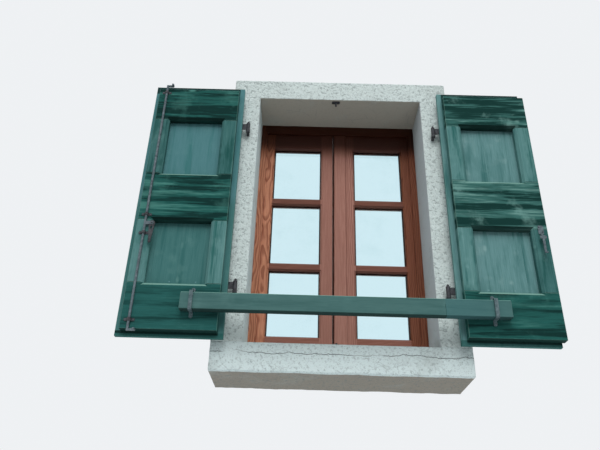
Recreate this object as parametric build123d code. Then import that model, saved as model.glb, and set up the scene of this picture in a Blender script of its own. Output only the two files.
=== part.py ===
from build123d import *
import os

# Panelled window shutters in a rendered stone surround, with the casement
# window that they protect. The leaves are drawn folded back beside the
# opening, with a wooden bar across them.
# Millimetres. X runs to the right, Y runs into the building, Z runs up.
# X = 0 is the middle of the opening, Y = 0 the front face of the surround
# and Z = 0 the underside of the sill.

# How far a cutting shape runs past the face that it cuts through
OVERCUT = 1

# Stone surround
OPENING_WIDTH = 910
OPENING_HEIGHT = 1448
JAMB_WIDTH = 151
LINTEL_HEIGHT = 133
SILL_HEIGHT = 137
STONE_ROUNDING = 5

# Shutter leaves, each a layer of boards under a layer of rails and stiles
BOARD_THICKNESS = 23
FRAME_THICKNESS = 40
BOARDS_PER_LEAF = 4
TONGUE_THICKNESS = 7
TONGUE_LENGTH = 8
TONGUE_PLAY = 0.4
BOARD_CHAMFER = 0.7
JAMB_LAP = 21
LINTEL_LAP = 11
SILL_LAP = 7
REVEAL_GAP = 5
FRAME_GAP_BELOW = 14
FRAME_GAP_ABOVE = 34
MEETING_GAP = 18
LEFT_BOARD_REACH = 18
RIGHT_BOARD_BACK = 21
TOP_RAIL_HEIGHT = 209
MIDDLE_RAIL_HEIGHT = 277
BOTTOM_RAIL_HEIGHT = 229
UPPER_PANEL_HEIGHT = 348
STILE_WIDTH = 78
PANEL_CHAMFER = 13
ARRIS = 1.5

# Leaf hinges: an eye on the leaf's strap turns on a pintle set in the jamb
PIN_FROM_OPENING = 53
LEAF_STANDOFF = 33
CLOSED_GAP = 3
UPPER_HINGE_BELOW_LINTEL = 234
LOWER_HINGE_ABOVE_SILL = 265
PIN_DIAMETER = 12
PIN_PLAY = 0.08
EYE_DIAMETER = 21
EYE_HEIGHT = 46
EYE_LIFT = 0.2
PIN_ABOVE_EYE = 13
PIN_CHAMFER = 3
COLLAR_HEIGHT = 6
COLLAR_SIDES = 8
SHANK_SIZE = 14
SHANK_DEPTH = 90
STRAP_THICKNESS = 4
STRAP_LENGTH = 330
STRAP_ROOT_WIDTH = 38
STRAP_TIP_WIDTH = 24
STRAP_TIP_CUT = 7
BOLT_NECK = 7
BOLT_HEAD_DIAMETER = 18
BOLT_CROWN_DIAMETER = 9
BOLT_HEAD_HEIGHT = 5
BOLT_HEAD_SIDES = 8
BOLT_PLACES = (75, 185, 310)

# Turning rod with hooks, on the left leaf
ROD_DIAMETER = 12
ROD_FROM_EDGE = 42
ROD_FROM_FACE = 8
ROD_BELOW_FRAME = 12
ROD_ABOVE_FRAME = 17
ROD_PLAY = 0.08
HOOK_REACH = 36
HOOK_HEIGHT = 8
HOOK_WIDTH = 10
HOOK_TIP = 14
HOOK_CORNER = 3
LOW_GUIDE_ABOVE_FRAME = 41
HIGH_GUIDE_BELOW_FRAME = 31
GUIDES_FROM_YOKE = (-52, 51)
GUIDE_LENGTH = 50
GUIDE_WIDTH = 14
GUIDE_FOOT_CUT = 4
GUIDE_FOOT_THICKNESS = 3
GUIDE_WALL = 3.2
YOKE_BELOW_RAIL = 27
YOKE_REACH = 34
YOKE_CHEEK = 2.8
YOKE_HEIGHT = 18
LEVER_LENGTH = 92
LEVER_WIDTH = 30
LEVER_NECK_WIDTH = 12
LEVER_THICKNESS = 4
LEVER_HOLE = 9
LEVER_PLAY = 0.3
LEVER_CLEARANCE = 2
KNOB_HEIGHT = 15
KNOB_WIDTH = 13
KNOB_SIDES = 8
KNOB_CHAMFER = 3.5
RIVET_DIAMETER = 7
RIVET_LENGTH = 13.6

# Keepers that the hooks and the lever catch on
STUD_DIAMETER = 10
STUD_X = -22
STUD_Y = 24
TOP_STUD_LENGTH = 27
BOTTOM_STUD_LENGTH = 11
KEEPER_PLATE_LENGTH = 46
KEEPER_PLATE_WIDTH = 22
KEEPER_PLATE_THICKNESS = 3
KEEPER_PLATE_CUT = 4
CATCH_FROM_EDGE = 34
CATCH_ABOVE_PANEL = 19
CATCH_PLATE_HEIGHT = 48
CATCH_PLATE_WIDTH = 26
CATCH_THICKNESS = 3.5
CATCH_PLATE_CUT = 4
CATCH_HEAD_CUT = 3
CATCH_STEM_WIDTH = 11
CATCH_HEAD_WIDTH = 32
CATCH_STANDOFF = 16
CATCH_STEM_LENGTH = 112
CATCH_CURL = 9
CATCH_CURL_ANGLE = -130

# Wooden bar and the staples that hold it across the leaves
BAR_PAST_LEFT_PIN = 233
BAR_PAST_RIGHT_PIN = 254
BAR_ABOVE_FRAME = 84
BAR_HEIGHT = 83
BAR_THICKNESS = 40
BAR_CHAMFER = 3
BAR_SIDE_PLAY = 6
BAR_TOP_PLAY = 4
BAR_LIFT = 0.5
STAPLE_FROM_PIN = 182
STAPLE_WIDTH = 17
STAPLE_THICKNESS = 4
STAPLE_TOP_FOOT = 32
STAPLE_BOTTOM_FOOT = 27
STAPLE_BEND = 6
STAPLE_FOOT_CUT = 5

# Casement window at the back of the opening
WINDOW_SETBACK = 250
WINDOW_DEPTH = 60
FRAME_JAMB_FACE = 35
FRAME_HEAD_FACE = 60
FRAME_SILL_FACE = 45
REBATE_WIDTH = 14
LIP_THICKNESS = 12
SASH_GAP = 3
SASH_BEHIND_LIP = 2
MEETING_X = -24.7
SASH_MEETING_GAP = 0.6
MEETING_BEVEL = 4.6
SASH_STILE_WIDTH = 60
PANE_FROM_MIDDLE = 96
PANE_SHARES = (369, 365, 342)
BOTTOM_PANE_ABOVE_SILL = 121
TOP_PANE_BELOW_LINTEL = 163
MUNTIN_HEIGHT = 44
PANE_CHAMFER = 8
GLASS_THICKNESS = 4
GLASS_SETBACK = 21
GLASS_REBATE = 6
ASTRAGAL_WIDTH = 68
ASTRAGAL_THICKNESS = 10
ASTRAGAL_CHAMFER = 5
SASH_HINGE_FROM_BOTTOM = 159
SASH_HINGE_FROM_TOP = 156
SASH_BARREL_DIAMETER = 14
SASH_BARREL_HEIGHT = 35
SASH_PIN_DIAMETER = 7
SASH_PIN_PLAY = 0.08
SASH_PIN_REACH = 28
SASH_BORE_SPARE = 2
SASH_BARREL_GAP = 0.3
SASH_ARM_LENGTH = 17
SASH_ARM_THICKNESS = 4
HANDLE_FROM_MEETING = 62.7
HANDLE_ABOVE_SILL = 703
ROSE_WIDTH = 28
ROSE_HEIGHT = 62
ROSE_THICKNESS = 8
ROSE_CUT = 7
SPINDLE_DIAMETER = 12
SPINDLE_LENGTH = 30
SPINDLE_PLAY = 0.08
GRIP_LENGTH = 118
GRIP_WIDTH = 18
GRIP_THICKNESS = 11
GRIP_CHAMFER = 5
GRIP_EDGE = 2.5

# Places worked out from the sizes above
HALF_OPENING = OPENING_WIDTH / 2
HALF_SURROUND = HALF_OPENING + JAMB_WIDTH
SILL_TOP = SILL_HEIGHT
LINTEL_UNDERSIDE = SILL_TOP + OPENING_HEIGHT
STONE_DEPTH = WINDOW_SETBACK + WINDOW_DEPTH

PIN_X = HALF_OPENING + PIN_FROM_OPENING
UPPER_HINGE_Z = LINTEL_UNDERSIDE - UPPER_HINGE_BELOW_LINTEL
LOWER_HINGE_Z = SILL_TOP + LOWER_HINGE_ABOVE_SILL

BOARD_BOTTOM = SILL_TOP - SILL_LAP
BOARD_TOP = LINTEL_UNDERSIDE + LINTEL_LAP
FRAME_BOTTOM = SILL_TOP + FRAME_GAP_BELOW
FRAME_TOP = LINTEL_UNDERSIDE - FRAME_GAP_ABOVE
UPPER_PANEL = (FRAME_TOP - TOP_RAIL_HEIGHT - UPPER_PANEL_HEIGHT, FRAME_TOP - TOP_RAIL_HEIGHT)
LOWER_PANEL = (FRAME_BOTTOM + BOTTOM_RAIL_HEIGHT, UPPER_PANEL[0] - MIDDLE_RAIL_HEIGHT)

# Distances from the pin axis along an open leaf
BOARD_NEAR = PIN_X - HALF_OPENING - JAMB_LAP
FRAME_NEAR = PIN_X - HALF_OPENING + REVEAL_GAP
FRAME_FAR = PIN_X - MEETING_GAP / 2
LEFT_BOARD_FAR = PIN_X + LEFT_BOARD_REACH
RIGHT_BOARD_FAR = PIN_X - RIGHT_BOARD_BACK

BOARD_BACK = -LEAF_STANDOFF
BOARD_FACE = BOARD_BACK - BOARD_THICKNESS
FRAME_FACE = BOARD_FACE - FRAME_THICKNESS
PIN_Y = -(LEAF_STANDOFF + BOARD_THICKNESS + CLOSED_GAP) / 2

ROD_X = -(PIN_X + FRAME_FAR - ROD_FROM_EDGE)
ROD_Y = FRAME_FACE - ROD_FROM_FACE
ROD_BOTTOM = FRAME_BOTTOM - ROD_BELOW_FRAME
ROD_TOP = FRAME_TOP + ROD_ABOVE_FRAME
YOKE_Z = LOWER_PANEL[1] - YOKE_BELOW_RAIL
GUIDE_HEIGHTS = [YOKE_Z + step for step in GUIDES_FROM_YOKE]
GUIDE_HEIGHTS += [FRAME_BOTTOM + LOW_GUIDE_ABOVE_FRAME, FRAME_TOP - HIGH_GUIDE_BELOW_FRAME]
CATCH_PLATE_TOP = LOWER_PANEL[1] + CATCH_ABOVE_PANEL

BAR_LEFT = -(PIN_X + BAR_PAST_LEFT_PIN)
BAR_RIGHT = PIN_X + BAR_PAST_RIGHT_PIN
BAR_BACK = FRAME_FACE - BAR_SIDE_PLAY
BAR_FRONT = BAR_BACK - BAR_THICKNESS
BAR_BOTTOM = FRAME_BOTTOM + BAR_ABOVE_FRAME
BAR_TOP = BAR_BOTTOM + BAR_HEIGHT

SASH_OUTER = HALF_OPENING - FRAME_JAMB_FACE + REBATE_WIDTH - SASH_GAP
SASH_FRONT = WINDOW_SETBACK + LIP_THICKNESS + SASH_BEHIND_LIP
WINDOW_BACK = WINDOW_SETBACK + WINDOW_DEPTH
SASH_BOTTOM = SILL_TOP + FRAME_SILL_FACE - REBATE_WIDTH + SASH_GAP
SASH_TOP = LINTEL_UNDERSIDE - FRAME_HEAD_FACE + REBATE_WIDTH - SASH_GAP
SASH_PIN_X = SASH_OUTER + SASH_GAP / 2
SASH_PIN_Y = WINDOW_BACK + SASH_BARREL_DIAMETER / 2
SASH_HINGE_HEIGHTS = (SASH_BOTTOM + SASH_HINGE_FROM_BOTTOM, SASH_TOP - SASH_HINGE_FROM_TOP)
PANE_FAR = SASH_OUTER - SASH_STILE_WIDTH
PANES_HEIGHT = OPENING_HEIGHT - BOTTOM_PANE_ABOVE_SILL - TOP_PANE_BELOW_LINTEL - 2 * MUNTIN_HEIGHT
WINDOW_HANDLE_X = MEETING_X + HANDLE_FROM_MEETING
WINDOW_HANDLE_Z = SILL_TOP + HANDLE_ABOVE_SILL


def block(x, y, z):
    """A box between two values on each axis."""
    low = [min(pair) for pair in (x, y, z)]
    high = [max(pair) for pair in (x, y, z)]
    size = [b - a for a, b in zip(low, high)]
    centre = [(a + b) / 2 for a, b in zip(low, high)]
    return Pos(*centre) * Box(*size)


def upright(radius, x, y, z):
    """A vertical cylinder between two heights."""
    return Pos(x, y, (z[0] + z[1]) / 2) * Cylinder(radius, z[1] - z[0])


def across(radius, x, y, z):
    """A cylinder along Y between two depths."""
    return Pos(x, (y[0] + y[1]) / 2, z) * Rot(90, 0, 0) * Cylinder(radius, y[1] - y[0])


def prism(width, sides, x, y, z):
    """An upright post with flat sides, one of which faces Y, between two heights."""
    plan = RegularPolygon(width / 2, sides, major_radius=False, rotation=180 / sides)
    return extrude(Pos(x, y, z[0]) * plan, z[1] - z[0])


def eased(solid, size=ARRIS):
    """The solid with every edge planed off a little."""
    return chamfer(solid.edges(), size)


def splay(x, z, face, depth):
    """The wedge planed off round an opening, wider at the face by its depth."""
    middle_x, middle_z = sum(x) / 2, sum(z) / 2
    width, height = abs(x[1] - x[0]), abs(z[1] - z[0])
    front = Plane(origin=(middle_x, face - OVERCUT, middle_z), x_dir=(1, 0, 0), z_dir=(0, -1, 0))
    back = Plane(origin=(middle_x, face + depth, middle_z), x_dir=(1, 0, 0), z_dir=(0, -1, 0))
    grow = 2 * (depth + OVERCUT)
    return loft([back * Rectangle(width, height), front * Rectangle(width + grow, height + grow)])


def leaf_x(side, near, far):
    """X values of a stretch of an open leaf, from its distances to the pin axis."""
    return side * (PIN_X + near), side * (PIN_X + far)


def save(name, shape):
    """Write one node."""
    export_step(Compound(children=list(shape)) if isinstance(shape, list) else shape, f"parts/{name}.step")


def stones():
    """Lintel, sill and jambs, with holes in the jambs for the pintles."""
    depth = (0, STONE_DEPTH)
    lintel_z = (LINTEL_UNDERSIDE, LINTEL_UNDERSIDE + LINTEL_HEIGHT)
    lintel = block((-HALF_SURROUND, HALF_SURROUND), depth, lintel_z)
    lintel = fillet(lintel.faces().sort_by(Axis.Y)[0].edges().sort_by(Axis.Z)[1:], STONE_ROUNDING)
    sill = block((-HALF_SURROUND, HALF_SURROUND), depth, (0, SILL_TOP))
    sill = fillet(sill.faces().sort_by(Axis.Y)[0].edges().filter_by(Axis.Z), STONE_ROUNDING)
    pieces = {"lintel": lintel, "sill": sill}
    for side, name in ((-1, "jamb_left"), (1, "jamb_right")):
        jamb = block((side * HALF_OPENING, side * HALF_SURROUND), depth, (SILL_TOP, LINTEL_UNDERSIDE))
        jamb = fillet(jamb.faces().sort_by(Axis.Y)[0].edges().filter_by(Axis.Z), STONE_ROUNDING)
        for hinge_z in (UPPER_HINGE_Z, LOWER_HINGE_Z):
            jamb -= shank(side, hinge_z)
        pieces[name] = jamb
    return pieces


def shank(side, hinge_z):
    """The square bar of a pintle, from the pin axis to its end in the stone."""
    top = hinge_z - EYE_HEIGHT / 2 - EYE_LIFT - COLLAR_HEIGHT / 2
    half = SHANK_SIZE / 2
    x = side * PIN_X
    return block((x - half, x + half), (PIN_Y, SHANK_DEPTH), (top - SHANK_SIZE, top))


def pintle(side, hinge_z):
    """A forged pintle: the pin, the collar that carries the eye and the shank."""
    x = side * PIN_X
    seat = hinge_z - EYE_HEIGHT / 2 - EYE_LIFT
    pin_top = hinge_z + EYE_HEIGHT / 2 + PIN_ABOVE_EYE
    pin = upright(PIN_DIAMETER / 2, x, PIN_Y, (seat - COLLAR_HEIGHT, pin_top))
    pin = chamfer(pin.edges().sort_by(Axis.Z)[-1], PIN_CHAMFER)
    collar = prism(EYE_DIAMETER, COLLAR_SIDES, x, PIN_Y, (seat - COLLAR_HEIGHT - SHANK_SIZE / 2, seat))
    return pin + collar + shank(side, hinge_z)


def strap(side, hinge_z):
    """A strap hinge: the rolled eye and the tapered strap on the boards' weather side."""
    x = side * PIN_X
    height = (hinge_z - EYE_HEIGHT / 2, hinge_z + EYE_HEIGHT / 2)
    eye = upright(EYE_DIAMETER / 2, x, PIN_Y, height)
    root, tip = STRAP_ROOT_WIDTH / 2, STRAP_TIP_WIDTH / 2
    taper = STRAP_LENGTH - STRAP_TIP_CUT
    flat = tip - STRAP_TIP_CUT
    outline = Polygon((0, -root), (taper, -tip), (STRAP_LENGTH, -flat), (STRAP_LENGTH, flat),
                      (taper, tip), (0, root), align=None)
    plane = Plane(origin=(x, BOARD_BACK, hinge_z), x_dir=(side, 0, 0), z_dir=(0, 1, 0))
    plate = extrude(plane * outline, STRAP_THICKNESS)
    bore = upright(PIN_DIAMETER / 2 + PIN_PLAY, x, PIN_Y, (height[0] - OVERCUT, height[1] + OVERCUT))
    hinge = eye + plate - bore
    for bolt in strap_bolts(side, hinge_z):
        hinge -= bolt
    return hinge


def strap_bolts(side, hinge_z):
    """The square-necked bolts that pass through a strap and the boards, with facetted heads."""
    bolts = []
    outer = BOARD_BACK + STRAP_THICKNESS
    for place in BOLT_PLACES:
        x = side * (PIN_X + place)
        half = BOLT_NECK / 2
        neck = block((x - half, x + half), (BOARD_FACE, outer), (hinge_z - half, hinge_z + half))
        seat = Plane(origin=(x, outer, hinge_z), x_dir=(1, 0, 0), z_dir=(0, 1, 0))
        base = seat * RegularPolygon(BOLT_HEAD_DIAMETER / 2, BOLT_HEAD_SIDES)
        crown = seat.offset(BOLT_HEAD_HEIGHT) * RegularPolygon(BOLT_CROWN_DIAMETER / 2, BOLT_HEAD_SIDES)
        bolts.append(neck + loft([base, crown]))
    return bolts


def boards(side, far):
    """The tongued and grooved boards of a leaf, with its bolt holes."""
    width = (far - BOARD_NEAR) / BOARDS_PER_LEAF
    middle = (BOARD_BACK + BOARD_FACE) / 2
    height = (BOARD_BOTTOM, BOARD_TOP)
    tall = (BOARD_BOTTOM - OVERCUT, BOARD_TOP + OVERCUT)
    half = TONGUE_THICKNESS / 2
    row = []
    for index in range(BOARDS_PER_LEAF):
        near = BOARD_NEAR + index * width
        board = block(leaf_x(side, near, near + width), (BOARD_BACK, BOARD_FACE), height)
        board = chamfer(board.edges().filter_by(Axis.Z), BOARD_CHAMFER)
        if index > 0:
            groove = leaf_x(side, near - OVERCUT, near + TONGUE_LENGTH + TONGUE_PLAY)
            board -= block(groove, (middle - half - TONGUE_PLAY, middle + half + TONGUE_PLAY), tall)
        if index < BOARDS_PER_LEAF - 1:
            tongue = leaf_x(side, near + width - BOARD_CHAMFER, near + width + TONGUE_LENGTH)
            board += block(tongue, (middle - half, middle + half), height)
        row.append(board)
    bolts = strap_bolts(side, UPPER_HINGE_Z) + strap_bolts(side, LOWER_HINGE_Z)
    for index, board in enumerate(row):
        for bolt in bolts:
            board -= bolt
        row[index] = board
    return row


def panel_splay(side, panel):
    """The planed wedge round one panel of a leaf."""
    x = leaf_x(side, FRAME_NEAR + STILE_WIDTH, FRAME_FAR - STILE_WIDTH)
    return splay(x, panel, FRAME_FACE, PANEL_CHAMFER)


def leaf_frame(side):
    """The rails and stiles that are fixed on the boards."""
    depth = (BOARD_FACE, FRAME_FACE)
    wedges = [panel_splay(side, UPPER_PANEL), panel_splay(side, LOWER_PANEL)]
    full = leaf_x(side, FRAME_NEAR, FRAME_FAR)
    rails = {
        "top_rail": (UPPER_PANEL[1], FRAME_TOP),
        "middle_rail": (LOWER_PANEL[1], UPPER_PANEL[0]),
        "bottom_rail": (FRAME_BOTTOM, LOWER_PANEL[0]),
    }
    pieces = {}
    for name, z in rails.items():
        rail = eased(block(full, depth, z))
        for wedge in wedges:
            rail -= wedge
        pieces[name] = rail
    columns = {
        "hinge_stiles": leaf_x(side, FRAME_NEAR, FRAME_NEAR + STILE_WIDTH),
        "free_stiles": leaf_x(side, FRAME_FAR - STILE_WIDTH, FRAME_FAR),
    }
    for name, x in columns.items():
        pair = []
        for panel, wedge in zip((UPPER_PANEL, LOWER_PANEL), wedges):
            pair.append(eased(block(x, depth, panel)) - wedge)
        pieces[name] = pair
    return pieces


def staple(side):
    """A strap bent over the bar, with a foot above and below it."""
    inner = FRAME_FACE - BAR_THICKNESS - 2 * BAR_SIDE_PLAY
    outer = inner - STAPLE_THICKNESS
    low, high = BAR_BOTTOM - BAR_LIFT, BAR_TOP + BAR_TOP_PLAY
    x = side * (PIN_X + STAPLE_FROM_PIN)
    width = (x - STAPLE_WIDTH / 2, x + STAPLE_WIDTH / 2)
    bow = block(width, (outer, FRAME_FACE), (low - STAPLE_THICKNESS, high + STAPLE_THICKNESS))
    bow = fillet(bow.faces().sort_by(Axis.Y)[0].edges().filter_by(Axis.X), STAPLE_BEND + STAPLE_THICKNESS)
    slot = block((width[0] - OVERCUT, width[1] + OVERCUT), (inner, FRAME_FACE + OVERCUT), (low, high))
    slot = fillet(slot.faces().sort_by(Axis.Y)[0].edges().filter_by(Axis.X), STAPLE_BEND)
    foot_depth = (FRAME_FACE - STAPLE_THICKNESS, FRAME_FACE)
    feet = {
        "top": (high + STAPLE_THICKNESS / 2, high + STAPLE_TOP_FOOT),
        "bottom": (low - STAPLE_BOTTOM_FOOT, low - STAPLE_THICKNESS / 2),
    }
    shape = bow - slot
    for end, z in feet.items():
        foot = block(width, foot_depth, z)
        corners = foot.edges().filter_by(Axis.Y).group_by(Axis.Z)[-1 if end == "top" else 0]
        shape += chamfer(corners, STAPLE_FOOT_CUT)
    return shape


def guard_bar():
    """The wooden bar that lies across both leaves."""
    bar = block((BAR_LEFT, BAR_RIGHT), (BAR_FRONT, BAR_BACK), (BAR_BOTTOM, BAR_TOP))
    return chamfer(bar.edges(), BAR_CHAMFER)


def rod_guides():
    """The four bearings that hold the rod on the leaf, each on a foot with its corners cut off."""
    guides = []
    ring = ROD_DIAMETER / 2 + ROD_PLAY + GUIDE_WALL
    for z in GUIDE_HEIGHTS:
        height = (z - GUIDE_WIDTH / 2, z + GUIDE_WIDTH / 2)
        foot = block((ROD_X - GUIDE_LENGTH / 2, ROD_X + GUIDE_LENGTH / 2),
                     (FRAME_FACE - GUIDE_FOOT_THICKNESS, FRAME_FACE), height)
        foot = chamfer(foot.edges().filter_by(Axis.Y), GUIDE_FOOT_CUT)
        saddle = block((ROD_X - ring, ROD_X + ring), (ROD_Y, FRAME_FACE), height)
        guide = foot + saddle + upright(ring, ROD_X, ROD_Y, height)
        front = (ROD_Y - ring - OVERCUT, FRAME_FACE)
        guide &= block((ROD_X - GUIDE_LENGTH, ROD_X + GUIDE_LENGTH), front, height)
        tall = (height[0] - OVERCUT, height[1] + OVERCUT)
        guide -= upright(ROD_DIAMETER / 2 + ROD_PLAY, ROD_X, ROD_Y, tall)
        guides.append(guide)
    return guides


def hook(z):
    """A flat hook forged at an end of the rod, with its tip bent back."""
    half = HOOK_WIDTH / 2
    reach = block((ROD_X, ROD_X + HOOK_REACH), (ROD_Y - half, ROD_Y + half), z)
    tip_x = (ROD_X + HOOK_REACH - HOOK_WIDTH, ROD_X + HOOK_REACH)
    tip = block(tip_x, (ROD_Y - half - HOOK_TIP, ROD_Y + half), z)
    shape = reach + tip
    corners = shape.edges().filter_by(Axis.Z).sort_by(Axis.X)[-2:]
    return chamfer(corners, HOOK_CORNER)


def turning_rod():
    """The rod with its two hooks and the yoke that carries the lever."""
    radius = ROD_DIAMETER / 2
    rod = upright(radius, ROD_X, ROD_Y, (ROD_BOTTOM, ROD_TOP))
    rod += hook((ROD_BOTTOM, ROD_BOTTOM + HOOK_HEIGHT))
    rod += hook((ROD_TOP - HOOK_HEIGHT, ROD_TOP))
    slot = LEVER_THICKNESS / 2 + LEVER_PLAY
    half = YOKE_HEIGHT / 2
    depth = (ROD_Y - slot - YOKE_CHEEK, ROD_Y + slot + YOKE_CHEEK)
    pivot_x = ROD_X + YOKE_REACH
    cheeks = block((ROD_X, pivot_x), depth, (YOKE_Z - half, YOKE_Z + half))
    cheeks += across(half, pivot_x, depth, YOKE_Z)
    gap = (pivot_x - LEVER_WIDTH / 2 - LEVER_CLEARANCE, pivot_x + half + OVERCUT)
    cheeks -= block(gap, (ROD_Y - slot, ROD_Y + slot), (YOKE_Z - half - OVERCUT, YOKE_Z + half + OVERCUT))
    return rod + cheeks - lever_rivet()


def lever_rivet():
    """The rivet on which the lever turns."""
    half = RIVET_LENGTH / 2
    return across(RIVET_DIAMETER / 2, ROD_X + YOKE_REACH, (ROD_Y - half, ROD_Y + half), YOKE_Z)


def lever():
    """The hanging lever: a flat tapered blade with a hole, ending in a knob."""
    x = ROD_X + YOKE_REACH
    plane = Plane(origin=(x, ROD_Y + LEVER_THICKNESS / 2, YOKE_Z), x_dir=(1, 0, 0), z_dir=(0, -1, 0))
    top, neck = LEVER_WIDTH / 2, LEVER_NECK_WIDTH / 2
    drop = LEVER_LENGTH
    blade = Circle(top)
    blade += Polygon((-top, 0), (-neck, -drop), (neck, -drop), (top, 0), align=None)
    blade -= Circle(RIVET_DIAMETER / 2 + PIN_PLAY)
    blade -= Pos(0, -top - LEVER_HOLE) * SlotOverall(2 * LEVER_HOLE, LEVER_HOLE, rotation=90)
    shape = extrude(plane * blade, LEVER_THICKNESS)
    knob_end = YOKE_Z - drop
    knob = prism(KNOB_WIDTH, KNOB_SIDES, x, ROD_Y, (knob_end - KNOB_HEIGHT, knob_end))
    rims = knob.edges().group_by(Axis.Z)
    knob = chamfer(rims[0] + rims[-1], KNOB_CHAMFER)
    return shape + knob


def hook_keeper(z, direction, length):
    """A plate with a stud that a hook catches behind."""
    plate_z = (z, z + direction * KEEPER_PLATE_THICKNESS)
    plate = block((STUD_X - KEEPER_PLATE_LENGTH / 2, STUD_X + KEEPER_PLATE_LENGTH / 2),
                  (STUD_Y - KEEPER_PLATE_WIDTH / 2, STUD_Y + KEEPER_PLATE_WIDTH / 2), plate_z)
    plate = chamfer(plate.edges().filter_by(Axis.Z), KEEPER_PLATE_CUT)
    stud = upright(STUD_DIAMETER / 2, STUD_X, STUD_Y, sorted((z, z + direction * length)))
    return plate + stud


def lever_catch():
    """The keeper on the right leaf: a plate and a stem with its end curled out."""
    x = PIN_X + FRAME_FAR - CATCH_FROM_EDGE
    face, out = FRAME_FACE, FRAME_FACE - CATCH_STANDOFF
    plate = block((x - CATCH_PLATE_WIDTH / 2, x + CATCH_PLATE_WIDTH / 2), (face - CATCH_THICKNESS, face),
                  (CATCH_PLATE_TOP - CATCH_PLATE_HEIGHT, CATCH_PLATE_TOP))
    plate = chamfer(plate.edges().filter_by(Axis.Y), CATCH_PLATE_CUT)
    bend_z = CATCH_PLATE_TOP - CATCH_PLATE_HEIGHT
    stem_end = bend_z - CATCH_STEM_LENGTH
    plane = Plane(origin=(x, 0, 0), x_dir=(0, 1, 0), z_dir=(1, 0, 0))
    half = CATCH_THICKNESS / 2
    run = Polyline((face - half, bend_z + CATCH_STANDOFF), (face - half, bend_z),
                   (out - half, bend_z - CATCH_STANDOFF), (out - half, stem_end + CATCH_CURL))
    curl = JernArc(run @ 1, run % 1, CATCH_CURL, CATCH_CURL_ANGLE)
    section = trace(run + curl, CATCH_THICKNESS)
    stem = extrude(plane * section, CATCH_STEM_WIDTH / 2, both=True)
    head = block((x - CATCH_HEAD_WIDTH / 2, x + CATCH_HEAD_WIDTH / 2), (out - CATCH_THICKNESS, out),
                 (bend_z - 2 * CATCH_STANDOFF, bend_z - CATCH_STANDOFF))
    head = chamfer(head.edges().filter_by(Axis.Y), CATCH_HEAD_CUT)
    return plate + stem + head


def window_frame():
    """The fixed frame, rebated on the room side for the sashes."""
    back = (WINDOW_SETBACK, WINDOW_BACK)
    lip = (WINDOW_SETBACK, WINDOW_SETBACK + LIP_THICKNESS)
    inner = HALF_OPENING - FRAME_JAMB_FACE
    rebate = inner + REBATE_WIDTH
    head_low = LINTEL_UNDERSIDE - FRAME_HEAD_FACE
    sill_high = SILL_TOP + FRAME_SILL_FACE
    head = block((-rebate, rebate), back, (head_low + REBATE_WIDTH, LINTEL_UNDERSIDE))
    head += block((-inner, inner), lip, (head_low, head_low + REBATE_WIDTH))
    sill = block((-rebate, rebate), back, (SILL_TOP, sill_high - REBATE_WIDTH))
    sill += block((-inner, inner), lip, (sill_high - REBATE_WIDTH, sill_high))
    pieces = {"window_frame_head": head, "window_frame_sill": sill}
    for side, name in ((-1, "window_frame_jamb_left"), (1, "window_frame_jamb_right")):
        jamb = block((side * rebate, side * HALF_OPENING), back, (SILL_TOP, LINTEL_UNDERSIDE))
        lip_z = (sill_high - REBATE_WIDTH, head_low + REBATE_WIDTH)
        jamb += block((side * inner, side * rebate), lip, lip_z)
        pieces[name] = jamb
    return pieces


def pane_rows():
    """The lowest and highest Z of the three panes of a sash."""
    rows = []
    low = SILL_TOP + BOTTOM_PANE_ABOVE_SILL
    for share in PANE_SHARES:
        height = PANES_HEIGHT * share / sum(PANE_SHARES)
        rows.append((low, low + height))
        low += height + MUNTIN_HEIGHT
    return rows


def meeting_edge(side):
    """X of a sash's meeting edge at its front and at its back."""
    back = MEETING_X + side * SASH_MEETING_GAP / 2
    return back + side * MEETING_BEVEL, back


def meeting_stile(side, pane_edge):
    """The stile at the middle, its edge bevelled so that the sash swings past the other."""
    front, back = meeting_edge(side)
    corners = [(front, SASH_FRONT), (pane_edge, SASH_FRONT), (pane_edge, WINDOW_BACK), (back, WINDOW_BACK)]
    if side < 0:
        corners.reverse()
    plan = Plane(origin=(0, 0, SASH_BOTTOM)) * Polygon(*corners, align=None)
    return extrude(plan, SASH_TOP - SASH_BOTTOM)


def sash(side):
    """One sash: stiles, rails, glazing bars and glass in its rebate."""
    depth = (SASH_FRONT, WINDOW_BACK)
    height = (SASH_BOTTOM, SASH_TOP)
    pane_x = (side * PANE_FROM_MIDDLE, side * PANE_FAR)
    rows = pane_rows()
    glass_y = (SASH_FRONT + GLASS_SETBACK, SASH_FRONT + GLASS_SETBACK + GLASS_THICKNESS)
    grown = (pane_x[0] - side * GLASS_REBATE, pane_x[1] + side * GLASS_REBATE)
    glass = [block(grown, glass_y, (low - GLASS_REBATE, high + GLASS_REBATE)) for low, high in rows]
    wedges = [splay(pane_x, row, SASH_FRONT, PANE_CHAMFER) for row in rows]
    pieces = {
        "hinge_stile": block((pane_x[1], side * SASH_OUTER), depth, height),
        "meeting_stile": meeting_stile(side, pane_x[0]),
        "bottom_rail": block(pane_x, depth, (SASH_BOTTOM, rows[0][0])),
        "lower_glazing_bar": block(pane_x, depth, (rows[0][1], rows[1][0])),
        "upper_glazing_bar": block(pane_x, depth, (rows[1][1], rows[2][0])),
        "top_rail": block(pane_x, depth, (rows[2][1], SASH_TOP)),
    }
    for name, piece in pieces.items():
        for cutter in wedges + glass:
            piece -= cutter
        pieces[name] = piece
    pieces["glass"] = glass
    return pieces


def astragal():
    """The cover strip on the right sash beside the meeting joint."""
    left = meeting_edge(1)[0]
    strip = block((left, left + ASTRAGAL_WIDTH), (SASH_FRONT - ASTRAGAL_THICKNESS, SASH_FRONT),
                  (SILL_TOP + FRAME_SILL_FACE + SASH_GAP, LINTEL_UNDERSIDE - FRAME_HEAD_FACE - SASH_GAP))
    return chamfer(strip.faces().sort_by(Axis.Y)[0].edges().filter_by(Axis.Z), ASTRAGAL_CHAMFER)


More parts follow.
